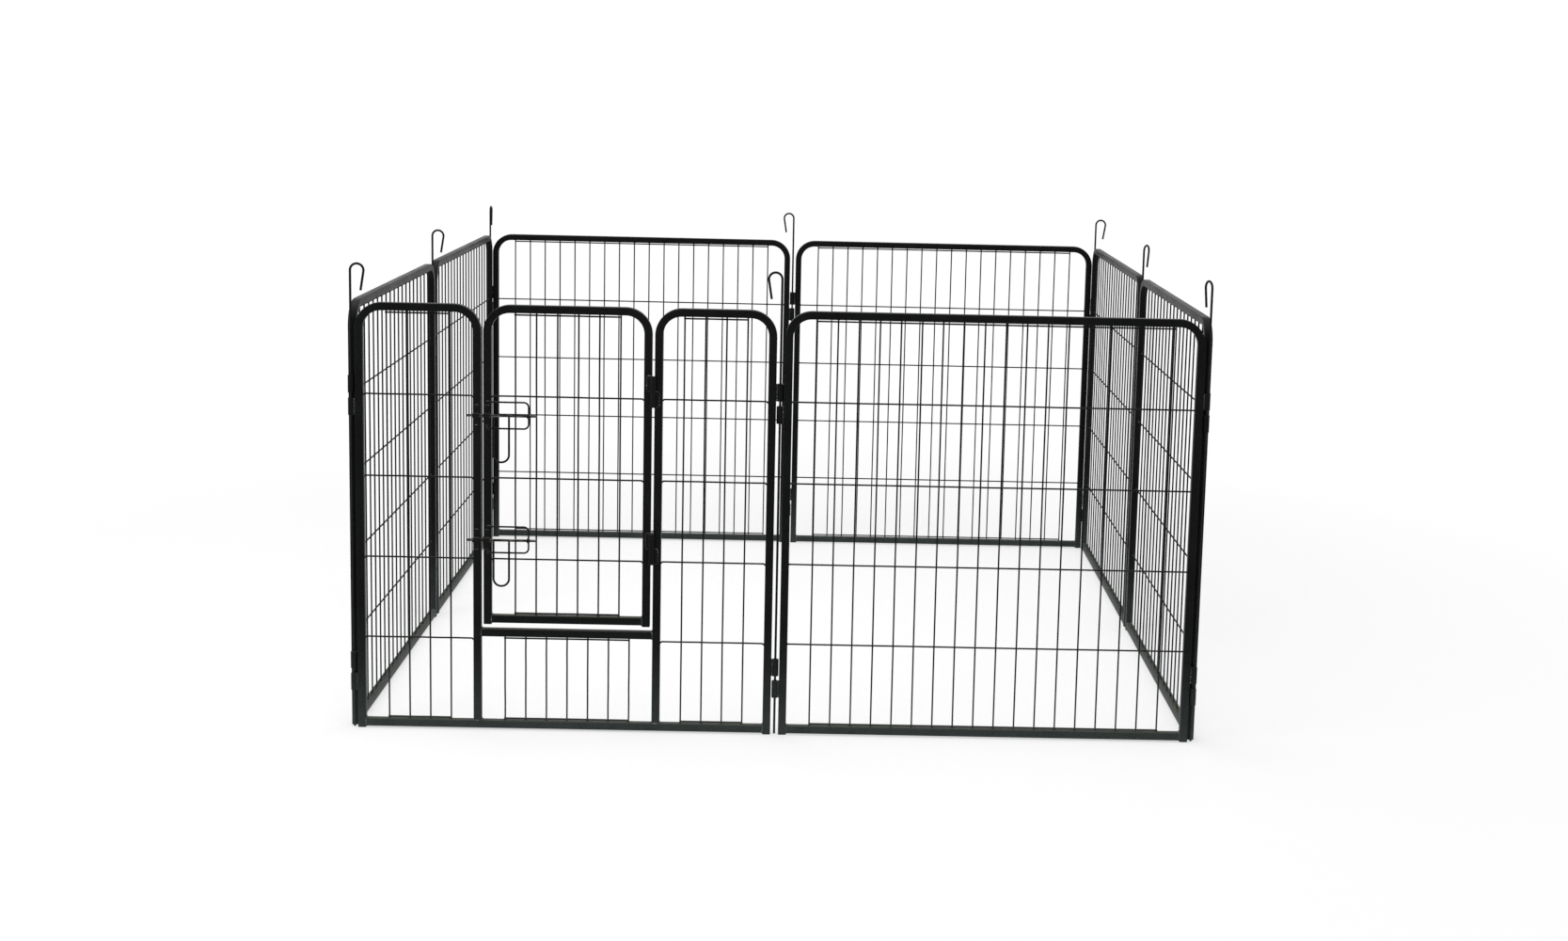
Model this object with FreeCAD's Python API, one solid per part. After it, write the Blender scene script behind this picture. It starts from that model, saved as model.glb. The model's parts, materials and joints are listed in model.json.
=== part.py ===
import FreeCAD, Part
import math
import os
from FreeCAD import Placement, Rotation, Vector

# Folding pet playpen: eight wire-mesh panels joined into a square ring by eight drop-in hooked pins.
# Millimetres, +Z up, floor at Z = 0, origin under the middle of the pen's outer box.
# The door panel is the left half of the front side (towards -Y). Panels are named anticlockwise from it.

# ---- flats that stand for round surfaces ----
wire_sides = 6                 # round a wire
barrel_sides = 12              # round a knuckle or the eye of a bolt guide
bore_sides = 8                 # round a bore
bend_flat = 18.0               # most degrees that one flat of a bend may turn

# ---- panels ----
panel_width = 787.0            # over the outer faces of a panel's two outer legs
panel_height = 817.0           # floor to the top of a frame
tube_side = 15.0               # square steel tube, outside
tube_wall = 1.5
tube_chamfer = 2.2             # flat that stands for the tube's rounded long edges
corner_radius = 50.0           # outer radius of a frame's two top bends
foot_height = 2.5              # how far the legs reach below the bottom rail

# ---- welded wire mesh ----
mesh_wire = 3.2                # wire diameter
upright_pitch = 39.3           # spacing of the upright wires
upright_leg_gap = 30.0         # least distance from a leg to the nearest upright
first_row_height = 177.5       # height of the lowest long level wire
row_pitch = 155.8
row_count = 4
wire_weld_gap = 0.05           # between crossing wires, where the weld is
edge_wire_gap = 2.0            # between a rail and the short level wire beside it
row_kink = 2.0                 # how far the ends of the door panel's long level wires bend, along and down

# ---- knuckles and pins ----
leg_gap = 15.0                 # between the legs of neighbouring panels
knuckle_leg_gap = 1.0          # between a knuckle and the neighbouring panel's leg
knuckle_height = 33.0
knuckle_gap = 9.5              # between the two knuckles of a pair
knuckle_neck = 7.0             # width of the weld between a knuckle and its leg
upper_pair_height = 641.0      # middle of the upper pair of knuckles
lower_pair_height = 109.5
pin_diameter = 4.5
pin_clearance = 0.5            # all round the pin in a knuckle
hook_top_height = 890.0        # floor to the top of a pin's hook
hook_radius = 12.5             # to the middle of the wire
hook_overturn = 9.0            # degrees that the hook turns past a half circle
hook_end_length = 36.0

# ---- door ----
left_arch_width = 235.0
door_width = 315.0
latch_gap = 4.5                # between the left arch and the door
hinge_gap = 5.0                # between the door and the right arch
sill_bar_height = 182.5        # floor to the underside of the bar below the door
door_floor_gap = 9.5           # between that bar and the door's legs
door_foot = 2.5                # how far the door's legs reach below its bottom rail
door_rows = 3

# ---- door hinges ----
upper_hinge_height = 660.3     # middle of the hinge
lower_hinge_height = 359.6
hinge_height = 59.0
hinge_slot = 0.6               # between the two barrels of a hinge
barrel_diameter = 11.0
hinge_pin_diameter = 5.0
hinge_pin_clearance = 0.3
hinge_pin_length = 22.0
leaf_thickness = 2.0
leaf_width = 9.0               # of the leaf that lies on a leg, from the gap's middle

# ---- door bolts ----
upper_bolt_height = 609.5
lower_bolt_height = 371.8
bolt_diameter = 5.0
bolt_clearance = 0.5           # all round the bolt in its straps and eye
bolt_tip_reach = 11.0          # past the far side of the leg that it locks onto
bolt_length = 131.0
strap_width = 12.0
strap_height = 38.0
strap_thickness = 1.5
guide_wire = 3.4
guide_spread = 50.0            # between the guide's two arms
guide_reach = 85.5             # from the door's edge to the middle of the guide's upright
guide_corner = 9.0
guide_eye_wall = 1.4
guide_eye_length = 5.0
guide_overlap = 10.0           # length of each arm that lies on the door's leg
handle_wire = 4.0
handle_spread = 28.7           # between the middles of the handle's legs
handle_drop = 90.0             # bolt's axis to the underside of the handle
handle_start = 51.0            # from the bolt's left end to the handle's first leg
handle_flat = 0.7              # straight run between the handle's two bends
handle_clearance = 0.1         # between the handle's ends and the bolt

# ---- worked out ----
hinge_pitch = panel_width + leg_gap
half_side = hinge_pitch                        # two panels a side, so half of it is one panel
leg_inset = leg_gap / 2
knuckle_diameter = leg_gap - 2 * knuckle_leg_gap
half_tube = tube_side / 2
rail_top = foot_height + tube_side
arch_inner_top = panel_height - tube_side
left_arch_end = leg_inset + left_arch_width
door_start = left_arch_end + latch_gap
door_end = door_start + door_width
right_arch_start = door_end + hinge_gap
panel_end = leg_inset + panel_width
sill_bar_top = sill_bar_height + tube_side
door_bottom = sill_bar_top + door_floor_gap
bolt_out = half_tube + guide_wire + bolt_clearance + bolt_diameter / 2
bolt_start = left_arch_end - tube_side - bolt_tip_reach
hinge_axis_x = (door_end + right_arch_start) / 2
hinge_axis_out = half_tube + barrel_diameter / 2
guide_upright = door_start + guide_reach
handle_corner = (handle_spread - handle_flat) / 2
# half the distance between the planes of the uprights and of the level wires
wire_offset = (mesh_wire / 2 * math.sqrt(math.pi / wire_sides / math.tan(math.pi / wire_sides))
               + wire_weld_gap / 2)

along = Vector(1, 0, 0)
inward = Vector(0, 1, 0)
outward = Vector(0, -1, 0)
up = Vector(0, 0, 1)


# ---- shapes in a panel's own frame: X along the panel, -Y out of the pen ----

def polygon_face(corners):
    return Part.Face(Part.makePolygon(corners + corners[:1]))


def tube_outline():
    """The outside of the square tube in the XY plane, with its long edges cut off."""
    h = tube_side / 2
    c = h - tube_chamfer
    return [Vector(x, y, 0) for x, y in (
        (-c, -h), (c, -h), (h, -c), (h, c), (c, h), (-c, h), (-h, c), (-h, -c))]


def tube_bore_outline():
    b = tube_side / 2 - tube_wall
    return [Vector(x, y, 0) for x, y in ((-b, -b), (b, -b), (b, b), (-b, b))]


def corner_distance(diameter, sides):
    """From the middle to a corner of the regular polygon that has a round bar's area."""
    turn = 2 * math.pi / sides
    return diameter / 2 * math.sqrt(turn / math.sin(turn))


def flat_distance(diameter, sides):
    """From the middle to a flat of the same polygon."""
    return corner_distance(diameter, sides) * math.cos(math.pi / sides)


def round_outline(diameter, sides):
    """A round bar's outline in the XY plane as a regular polygon with a flat towards +Y."""
    turn = 2 * math.pi / sides
    radius = corner_distance(diameter, sides)
    angles = [math.pi / 2 + (i + 0.5) * turn for i in range(sides)]
    return [Vector(math.cos(a), math.sin(a), 0) * radius for a in angles]


def bend_points(centre, start, side, angle):
    """Points round a bend from a start point, turning about side, one for each flat of the bend."""
    flats = math.ceil(angle / bend_flat)
    return [centre + Rotation(side, angle * i / flats).multVec(start - centre)
            for i in range(flats + 1)]


def bar(outline, points, side):
    """A prism swept along straight runs with mitred corners. The outline's Y axis lies along side."""
    heading = (points[1] - points[0]).normalize()
    section = Part.makePolygon(outline + outline[:1])
    section.Placement = Placement(points[0], Rotation(Vector(), side, heading, "ZYX"))
    sweep = Part.BRepOffsetAPI.MakePipeShell(Part.makePolygon(points))
    sweep.setTransitionMode(1)
    sweep.add(section)
    sweep.build()
    sweep.makeSolid()
    return sweep.shape()


def tube(points, side):
    return bar(tube_outline(), points, side).cut(bar(tube_bore_outline(), points, side))


def arch(start, end, left_foot, right_foot):
    """A tube bent into an arch between two outer faces, standing at two foot heights."""
    left = start + half_tube
    right = end - half_tube
    radius = corner_radius - half_tube
    shoulder = panel_height - corner_radius
    points = [Vector(left, 0, left_foot)]
    points += bend_points(Vector(left + radius, 0, shoulder), Vector(left, 0, shoulder), inward, 90)
    points += bend_points(Vector(right - radius, 0, shoulder),
                          Vector(right - radius, 0, shoulder + radius), inward, 90)
    points.append(Vector(right, 0, right_foot))
    return tube(points, inward)


def rail(start, end, bottom):
    """A level tube between two legs' faces."""
    return tube([Vector(start, 0, bottom + half_tube), Vector(end, 0, bottom + half_tube)], inward)


def mesh_bar(points):
    return bar(round_outline(mesh_wire, wire_sides), points, inward)


def upright_wire(x, bottom, top):
    return mesh_bar([Vector(x, wire_offset, bottom), Vector(x, wire_offset, top)])


def level_wire(start, end, height):
    return mesh_bar([Vector(start, -wire_offset, height), Vector(end, -wire_offset, height)])


def kinked_wire(start, end, height):
    """A long level wire, with both ends bent down to the weld on the leg."""
    wire = mesh_bar([Vector(x, -wire_offset, z) for x, z in (
        (start - mesh_wire, height - row_kink - mesh_wire), (start + row_kink, height),
        (end - row_kink, height), (end + mesh_wire, height - row_kink - mesh_wire))])
    between = Part.makeBox(end - start, mesh_wire * 4, row_kink + mesh_wire * 4,
                           Vector(start, -wire_offset - mesh_wire * 2, height - row_kink - mesh_wire * 2))
    return wire.common(between)


def mesh(start, end, bottom, top, long_wires):
    """Welded wire between two leg faces and two rails: uprights, long level wires and two short ones."""
    uprights = math.floor((end - start - 2 * upright_leg_gap) / upright_pitch) + 1
    first = (start + end - (uprights - 1) * upright_pitch) / 2
    last = first + (uprights - 1) * upright_pitch
    half_wire = mesh_wire / 2
    wires = [upright_wire(first + i * upright_pitch, bottom, top) for i in range(uprights)]
    for height in (bottom + edge_wire_gap + half_wire, top - edge_wire_gap - half_wire):
        wires.append(level_wire(first - half_wire, last + half_wire, height))
    return Part.makeCompound(wires + long_wires)


def rows(wire, start, end, first=0):
    """One of each long level wire, from the row with that number up."""
    return [wire(start, end, first_row_height + i * row_pitch) for i in range(first, row_count)]


def prism(outline, place, height):
    """An upright prism on an outline's corners, standing at a place."""
    return polygon_face(outline).translated(place).extrude(up * height)


def knuckle(axis_x, side, middle):
    """A short upright tube welded to a leg. side is +1 when the leg lies towards +X of the axis."""
    neck = [Vector(x, y, 0) for x, y in (
        (0, -knuckle_neck / 2), (side * leg_inset, -knuckle_neck / 2),
        (side * leg_inset, knuckle_neck / 2), (0, knuckle_neck / 2))]
    place = Vector(axis_x, 0, middle - knuckle_height / 2)
    barrel = prism(round_outline(knuckle_diameter, barrel_sides), place, knuckle_height)
    weld = prism(neck, place, knuckle_height)
    bore = prism(round_outline(pin_diameter + 2 * pin_clearance, bore_sides), place, knuckle_height)
    return barrel.fuse(weld).cut(bore).removeSplitter()


def knuckles():
    """Each panel's far end carries the upper knuckle of a pair, its near end the lower."""
    step = (knuckle_height + knuckle_gap) / 2
    made = []
    for middle in (upper_pair_height, lower_pair_height):
        made.append(knuckle(0, 1, middle - step))
        made.append(knuckle(hinge_pitch, -1, middle + step))
    return Part.makeCompound(made)


def plain_panel(name):
    left = leg_inset + tube_side
    right = panel_end - tube_side
    return {
        name + "_frame": arch(leg_inset, panel_end, 0, 0),
        name + "_bottom_rail": rail(left, right, foot_height),
        name + "_mesh": mesh(left, right, rail_top, arch_inner_top, rows(level_wire, left, right)),
        name + "_knuckles": knuckles(),
    }


# ---- the door panel ----

def hinge_half(middle, lower):
    """One half of a door hinge: a barrel in front of the gap with a leaf on its own leg."""
    half = (hinge_height - hinge_slot) / 2
    bottom = middle - hinge_height / 2 if lower else middle + hinge_slot / 2
    place = Vector(hinge_axis_x, -hinge_axis_out, bottom)
    reach = hinge_gap / 2 + leaf_width if lower else -hinge_gap / 2 - leaf_width
    face = hinge_axis_out - half_tube
    leaf = [Vector(x, y, 0) for x, y in (
        (0, face - leaf_thickness), (reach, face - leaf_thickness), (reach, face), (0, face))]
    barrel = Part.makeCylinder(barrel_diameter / 2, half, place)
    body = barrel.fuse(prism(leaf, place, half))
    if lower:
        pin = prism(round_outline(hinge_pin_diameter, bore_sides), place, half + hinge_pin_length)
        return body.fuse(pin).removeSplitter()
    bore = round_outline(hinge_pin_diameter + 2 * hinge_pin_clearance, bore_sides)
    return body.cut(prism(bore, place, half)).removeSplitter()


def strap(x, height):
    """A strap bent over the bolt, with a flange above and below welded to a leg's face."""
    face = -half_tube
    inner = bolt_diameter / 2 + bolt_clearance
    outer = inner + strap_thickness
    crown = -bolt_out - inner
    top = crown - strap_thickness
    flange = face - strap_thickness
    end = strap_height / 2
    outline = [(face, -end), (face, -inner), (crown, -inner), (crown, inner), (face, inner),
               (face, end), (flange, end), (flange, outer), (top, outer), (top, -outer),
               (flange, -outer), (flange, -end)]
    corners = [Vector(x - strap_width / 2, y, height + z) for y, z in outline]
    return polygon_face(corners).extrude(along * strap_width)


def straps(x):
    return Part.makeCompound([strap(x, h) for h in (upper_bolt_height, lower_bolt_height)])


def bolt_guide(height):
    """A wire bow on the door's leg, with an eye on its upright for the bolt to slide in."""
    out = -half_tube - flat_distance(guide_wire, wire_sides)
    left = door_start + tube_side - guide_overlap
    low = height - guide_spread / 2
    high = height + guide_spread / 2
    turn = guide_upright - guide_corner
    points = [Vector(left, out, low)]
    points += bend_points(Vector(turn, out, low + guide_corner), Vector(turn, out, low), outward, 90)
    points += bend_points(Vector(turn, out, high - guide_corner),
                          Vector(guide_upright, out, high - guide_corner), outward, 90)
    points.append(Vector(left, out, high))
    bow = bar(round_outline(guide_wire, wire_sides), points, inward)
    room = bolt_diameter + 2 * bolt_clearance
    ends = [Vector(guide_upright + x, -bolt_out, height)
            for x in (-guide_eye_length / 2, guide_eye_length / 2)]
    eye = bar(round_outline(room + 2 * guide_eye_wall, barrel_sides), ends, inward)
    bore = bar(round_outline(room, bore_sides), ends, inward)
    return bow.fuse(eye).cut(bore).removeSplitter()


def bolt_rod(height):
    place = Vector(bolt_start, -bolt_out, height)
    return Part.makeCylinder(bolt_diameter / 2, bolt_length, place, along)


def bolt_handle(height):
    """A long U of wire that hangs from the bolt."""
    left = bolt_start + handle_start
    right = left + handle_spread
    top = height - bolt_diameter / 2 - handle_clearance
    turn = height - handle_drop + handle_wire / 2 + handle_corner
    points = [Vector(left, -bolt_out, top)]
    points += bend_points(Vector(left + handle_corner, -bolt_out, turn),
                          Vector(left, -bolt_out, turn), outward, 90)
    points += bend_points(Vector(right - handle_corner, -bolt_out, turn),
                          Vector(right - handle_corner, -bolt_out, turn - handle_corner), outward, 90)
    points.append(Vector(right, -bolt_out, top))
    return bar(round_outline(handle_wire, wire_sides), points, inward)


def door_panel():
    left = leg_inset + tube_side
    left_inner = left_arch_end - tube_side
    right_inner = right_arch_start + tube_side
    right = panel_end - tube_side
    hinges = (upper_hinge_height, lower_hinge_height)
    return {
        "door_panel_left_arch": arch(leg_inset, left_arch_end, 0, rail_top),
        "door_panel_right_arch": arch(right_arch_start, panel_end, rail_top, 0),
        "door_panel_bottom_rail": rail(left, right, foot_height),
        "door_panel_sill_bar": rail(left_arch_end, right_arch_start, sill_bar_height),
        "door_panel_left_mesh": mesh(left, left_inner, rail_top, arch_inner_top,
                                     rows(kinked_wire, left, left_inner)),
        "door_panel_right_mesh": mesh(right_inner, right, rail_top, arch_inner_top,
                                      rows(kinked_wire, right_inner, right)),
        "door_panel_sill_mesh": mesh(left_arch_end, right_arch_start, rail_top, sill_bar_height, []),
        "door_panel_knuckles": knuckles(),
        "door_panel_hinge_pintles": Part.makeCompound([hinge_half(h, True) for h in hinges]),
        "door_panel_bolt_keepers": straps(left_arch_end - half_tube),
    }


def door():
    hinges = (upper_hinge_height, lower_hinge_height)
    bolts = (upper_bolt_height, lower_bolt_height)
    rail_bottom = door_bottom + door_foot
    left_inner = door_start + tube_side
    right_inner = door_end - tube_side
    return {
        "door_frame": arch(door_start, door_end, door_bottom, door_bottom),
        "door_bottom_rail": rail(left_inner, right_inner, rail_bottom),
        "door_mesh": mesh(left_inner, right_inner, rail_bottom + tube_side, arch_inner_top,
                          rows(kinked_wire, left_inner, right_inner, row_count - door_rows)),
        "door_hinge_sockets": Part.makeCompound([hinge_half(h, False) for h in hinges]),
        "door_bolt_straps": straps(door_start + half_tube),
        "door_bolt_guides": Part.makeCompound([bolt_guide(h) for h in bolts]),
        "upper_bolt": bolt_rod(upper_bolt_height),
        "lower_bolt": bolt_rod(lower_bolt_height),
        "upper_bolt_handle": bolt_handle(upper_bolt_height),
        "lower_bolt_handle": bolt_handle(lower_bolt_height),
    }


# ---- the connecting pins ----

def hooked_pin():
    """A straight wire that drops through four knuckles, bent into a crook at its top."""
    shoulder = hook_top_height - pin_diameter / 2 - hook_radius
    points = [Vector()]
    points += bend_points(Vector(hook_radius, 0, shoulder), up * shoulder, inward, 180 + hook_overturn)
    ahead = Rotation(inward, 180 + hook_overturn).multVec(up)
    points.append(points[-1] + ahead * hook_end_length)
    return bar(round_outline(pin_diameter, wire_sides), points, inward)


# ---- the ring ----

def panel_places():
    """Each panel's first hinge axis and direction, anticlockwise from the front left corner."""
    names = ["door_panel", "front_right", "right_front", "right_back",
             "back_right", "back_left", "left_back", "left_front"]
    places = {}
    corner = Vector(-half_side, -half_side, 0)
    for i, name in enumerate(names):
        turn = Rotation(up, 90 * (i // 2))
        places[name] = Placement(corner, turn)
        corner = corner + turn.multVec(along) * hinge_pitch
    return places


def pen():
    places = panel_places()
    parts = {}
    for name, place in places.items():
        own = {**door_panel(), **door()} if name == "door_panel" else plain_panel(name)
        for node, shape in own.items():
            parts[node] = shape.transformed(place.Matrix)
    # which way each pin's hook has been left turned, in degrees from +X
    hooks = {"front_left": ("door_panel", 0), "front_middle": ("front_right", 180),
             "front_right": ("right_front", 108), "right_middle": ("right_back", 55),
             "back_right": ("back_right", 0), "back_middle": ("back_left", 180),
             "back_left": ("left_back", 90), "left_middle": ("left_front", 0)}
    for name, (panel, angle) in hooks.items():
        stand = Placement(places[panel].Base, Rotation(up, angle))
        parts["pin_" + name] = hooked_pin().transformed(stand.Matrix)
    return parts


def centred(parts):
    """The parts, moved so that the origin lies under the middle of their box."""
    box = FreeCAD.BoundBox()
    for shape in parts.values():
        box.add(shape.BoundBox)
    shift = FreeCAD.Matrix()
    shift.move(Vector(-box.Center.x, -box.Center.y, -box.ZMin))
    return {name: shape.transformed(shift) for name, shape in parts.items()}


os.makedirs("parts", exist_ok=True)
for node, shape in centred(pen()).items():
    shape.exportStep("parts/" + node + ".step")
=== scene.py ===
import json
import math
import random

import bmesh
import bpy
from mathutils import Matrix, Vector

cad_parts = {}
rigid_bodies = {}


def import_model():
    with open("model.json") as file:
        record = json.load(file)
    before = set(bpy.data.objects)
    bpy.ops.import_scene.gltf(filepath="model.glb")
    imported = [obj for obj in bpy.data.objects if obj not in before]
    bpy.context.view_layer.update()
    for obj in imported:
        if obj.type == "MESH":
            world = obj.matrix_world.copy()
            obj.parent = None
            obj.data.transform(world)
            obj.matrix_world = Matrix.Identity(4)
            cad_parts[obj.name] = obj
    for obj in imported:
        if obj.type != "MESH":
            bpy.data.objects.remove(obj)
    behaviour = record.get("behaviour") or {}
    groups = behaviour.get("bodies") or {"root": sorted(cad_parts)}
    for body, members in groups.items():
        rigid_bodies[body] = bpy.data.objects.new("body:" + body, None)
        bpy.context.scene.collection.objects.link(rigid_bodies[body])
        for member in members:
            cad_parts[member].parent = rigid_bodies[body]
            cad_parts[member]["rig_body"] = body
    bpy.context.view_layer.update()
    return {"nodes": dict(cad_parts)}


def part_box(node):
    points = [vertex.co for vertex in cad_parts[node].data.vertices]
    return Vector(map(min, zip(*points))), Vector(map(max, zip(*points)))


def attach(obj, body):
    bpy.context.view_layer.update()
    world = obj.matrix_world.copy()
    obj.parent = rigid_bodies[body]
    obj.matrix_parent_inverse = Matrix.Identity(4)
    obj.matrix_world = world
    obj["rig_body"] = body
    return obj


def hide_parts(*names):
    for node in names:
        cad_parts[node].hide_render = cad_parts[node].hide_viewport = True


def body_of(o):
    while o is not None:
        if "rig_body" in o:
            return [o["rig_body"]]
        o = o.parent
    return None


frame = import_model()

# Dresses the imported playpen: bent square tubes, welded wire, knuckles, pins, hinges and bolts,
# each made in its own panel's frame and then carried to its place in the ring.
mm = 0.001
ahead, inward, up = Vector((1, 0, 0)), Vector((0, 1, 0)), Vector((0, 0, 1))
chance = random.Random(11)


class Signal:
    # one output of a shader node, good for sums

    def __init__(self, tree, output):
        self.tree = tree
        self.output = output

    def combine(self, operation, first, second=0.0):
        sums = self.tree.nodes.new("ShaderNodeMath")
        sums.operation = operation
        for place, value in enumerate((first, second)):
            if isinstance(value, Signal):
                self.tree.links.new(value.output, sums.inputs[place])
            else:
                sums.inputs[place].default_value = value
        return Signal(self.tree, sums.outputs[0])

    def __add__(self, other):
        return self.combine("ADD", self, other)

    def __radd__(self, other):
        return self.combine("ADD", other, self)

    def __sub__(self, other):
        return self.combine("SUBTRACT", self, other)

    def __rsub__(self, other):
        return self.combine("SUBTRACT", other, self)

    def __mul__(self, other):
        return self.combine("MULTIPLY", self, other)

    def __rmul__(self, other):
        return self.combine("MULTIPLY", other, self)

    def __truediv__(self, other):
        return self.combine("DIVIDE", self, other)

    def __rtruediv__(self, other):
        return self.combine("DIVIDE", other, self)

    def __pow__(self, other):
        return self.combine("POWER", self, other)

    def __rpow__(self, other):
        return self.combine("POWER", other, self)

    def clamped(self):
        return self.combine("MAXIMUM", self.combine("MINIMUM", self, 1.0), 0.0)


class Finish:
    # a material or a world being put together

    def __init__(self, name, owner=None):
        self.owner = owner or bpy.data.materials.new(name)
        self.owner.use_nodes = True
        self.tree = self.owner.node_tree
        self.tree.nodes.clear()

    def node(self, kind, settings=None, inputs=None, output=0):
        made = self.tree.nodes.new("ShaderNode" + kind)
        for key, value in (settings or {}).items():
            setattr(made, key, value)
        for key, value in (inputs or {}).items():
            if isinstance(value, Signal):
                self.tree.links.new(value.output, made.inputs[key])
            else:
                made.inputs[key].default_value = value
        return Signal(self.tree, made.outputs[output])

    def place(self, stretch=(1, 1, 1)):
        # where a point is on its piece, drawn out along an axis for streaks
        point = self.node("TexCoord", output="Object")
        if stretch == (1, 1, 1):
            return point
        return self.node("VectorMath", {"operation": "MULTIPLY"}, {0: point, 1: stretch})

    def noise(self, scale, detail, rough=0.5, stretch=(1, 1, 1)):
        return self.node("TexNoise", {}, {
            "Vector": self.place(stretch), "Scale": scale, "Detail": detail, "Roughness": rough})

    def blend(self, share, low, high):
        return self.node("Mix", {"data_type": "RGBA"}, {0: share, 6: low, 7: high}, 2)

    def seen(self):
        # 1 where the camera, a reflection or a look through glass meets it, 0 for the light it gives
        rays = [self.node("LightPath", output=key) for key in
                ("Is Camera Ray", "Is Glossy Ray", "Is Transmission Ray")]
        return (rays[0] + rays[1] + rays[2]).clamped()

    def finished(self, shader):
        kind = "World" if self.owner.id_type == "WORLD" else "Material"
        end = self.tree.nodes.new("ShaderNodeOutput" + kind)
        self.tree.links.new(shader.output, end.inputs["Surface"])
        return self.owner


# black baked powder; every finish thins a little here and there, and is lighter near the floor, with
# dust and painted light from the floor's bounce
coat = {
    "tube": {"dark": (0.0020, 0.0026, 0.0022, 1), "pale": (0.0054, 0.0066, 0.0058, 1),
             "rough": 0.38, "gloss": 0.065, "peel": 0.16, "grain": 820},
    "wire": {"dark": (0.0022, 0.0026, 0.0025, 1), "pale": (0.0055, 0.0064, 0.0061, 1),
             "rough": 0.36, "gloss": 0.06, "peel": 0.12, "grain": 1100},
    "hardware": {"dark": (0.0022, 0.0025, 0.0023, 1), "pale": (0.0054, 0.0060, 0.0056, 1),
                 "rough": 0.31, "gloss": 0.08, "peel": 0.14, "grain": 1000},
    "weld": {"dark": (0.0040, 0.0045, 0.0042, 1), "pale": (0.0180, 0.0190, 0.0178, 1),
             "rough": 0.27, "gloss": 0.35, "peel": 0.45, "grain": 620, "bare": "flecks"},
    "slide": {"dark": (0.0022, 0.0025, 0.0023, 1), "pale": (0.0054, 0.0060, 0.0056, 1),
              "rough": 0.31, "gloss": 0.08, "peel": 0.10, "grain": 1000, "bare": "streaks"},
}
# a pattern has its scale, detail and roughness, and a level at which it starts to show
powder = {"clouds": (14.0, 3.0), "cloud level": 0.35, "cloud thinning": 1.9,
          "patches": (170.0, 3.0, 0.6), "patch level": 0.5, "patch thinning": 1.7,
          "salt": (2600.0, 1.0), "salt level": 0.62, "salt thinning": 2.4, "salt relief": 0.35,
          "waves": (95.0, 2.0), "wave relief": 0.8, "peel detail": 2.0, "relief": 0.12 * mm,
          "average": 0.5, "cloud roughness": 0.22, "peel roughness": 0.10}
# a film of dust up the legs that also paints the lighter tone the floor's bounce light gives low parts,
# and painted light from above, drawn as dust, on faces that look up
dustAndPaintedLight = {"color": (0.037, 0.045, 0.044, 1), "height": 240 * mm, "fall": 1.9, "roughness": 0.10,
        "top light color": (0.066, 0.070, 0.057, 1), "top light reach": 950 * mm, "levelness": 3,
        "film": (26.0, 3.0), "film share": 0.6, "specks": (520.0, 2.0), "speck share": 0.6,
        "patch share": 0.7, "level": 0.05}
# flecks where weld metal shows through the powder, streaks where the straps rub the bolts
bareSteel = {"color": (0.42, 0.42, 0.40, 1), "metallic": 0.8, "smoother": 0.25,
             "flecks": {"pattern": (430.0, 1.5), "level": 0.63, "edge": 14, "share": 1.0},
             "streaks": {"pattern": (700.0, 2.0, 0.5, (0.06, 1, 1)), "level": 0.52, "edge": 5,
                         "share": 0.8}}


def dustAndPaintedLightShares(f, patches):
    # how much dust and painted floor light there is low down, and how much painted top light and dust
    # lies on what faces up
    height = f.node("SeparateXYZ", {}, {"Vector": f.place()}, "Z")
    film, specks = f.noise(*dustAndPaintedLight["film"]), f.noise(*dustAndPaintedLight["specks"])
    uneven = (film * dustAndPaintedLight["film share"] + patches * dustAndPaintedLight["patch share"] + specks * dustAndPaintedLight["speck share"]
              - dustAndPaintedLight["level"]).clamped()
    # painted floor light, with dust: lighter the nearer the floor
    floorLightAndDust = (1 - height / dustAndPaintedLight["height"]).clamped() ** dustAndPaintedLight["fall"] * uneven
    normal = f.node("NewGeometry", output="Normal")
    facesUp = f.node("SeparateXYZ", {}, {"Vector": normal}, "Z").clamped()
    # painted light on faces that look up, with dust: lighter the more they face up and the lower they
    # are
    topLightAndDust = facesUp ** dustAndPaintedLight["levelness"] * (1 - height / dustAndPaintedLight["top light reach"]).clamped() * uneven
    return floorLightAndDust, topLightAndDust


def bareShare(f, kind):
    spots = bareSteel[kind]
    return ((f.noise(*spots["pattern"]) - spots["level"]) * spots["edge"]).clamped() * spots["share"]


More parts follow.
